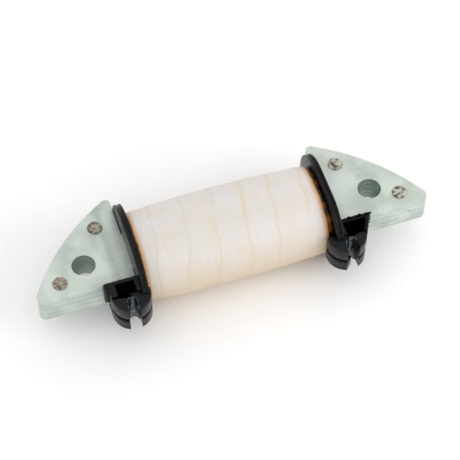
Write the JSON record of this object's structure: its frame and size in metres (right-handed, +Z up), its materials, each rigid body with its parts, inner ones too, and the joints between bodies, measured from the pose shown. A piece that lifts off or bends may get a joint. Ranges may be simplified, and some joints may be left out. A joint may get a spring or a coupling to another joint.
{
  "type": "ignition coil",
  "caption": "Flywheel magneto ignition coil: riveted steel pole core with curved faces, black bobbin with wire clips, and a tape-wrapped copper winding.",
  "frame": {"origin": "midway between the two mounting holes, on the underside of the plate stack, which is the seating face", "axes": "+X along the winding, +Y towards the flywheel magnets (the curved pole faces), +Z up out of the top plate"},
  "size_m": [0.0948, 0.0318, 0.021],
  "materials": {
    "zinc_steel": "bright zinc plate with a pale green-grey passivation",
    "rivet_steel": "hammered flat, dull",
    "black_nylon": "moulded, glossy",
    "enamelled_copper": "enamelled copper wire",
    "varnished_film": "amber varnished film",
    "cotton_tape": "half-lapped cotton tape, lightly varnished",
    "tinned_brass": "dull tin plate",
    "woven_sleeving": "varnished woven sleeving"
  },
  "bodies": {
    "root": {"top_plate": "zinc_steel", "upper_middle_plate": "zinc_steel", "lower_middle_plate": "zinc_steel", "bottom_plate": "zinc_steel", "left_inner_rivet": "rivet_steel", "left_outer_rivet": "rivet_steel", "right_inner_rivet": "rivet_steel", "right_outer_rivet": "rivet_steel", "bobbin_front_half": "black_nylon", "bobbin_back_half": "black_nylon", "inner_winding": "enamelled_copper", "interlayer_film": "varnished_film", "outer_winding": "enamelled_copper", "film_wrap": "varnished_film", "tape_wrap": "cotton_tape", "left_terminal_sleeve": "tinned_brass", "right_terminal_sleeve": "tinned_brass", "start_tail": "enamelled_copper", "finish_tail": "enamelled_copper", "start_tail_sleeving": "woven_sleeving", "finish_tail_sleeving": "woven_sleeving"}
  },
  "joints": []
}
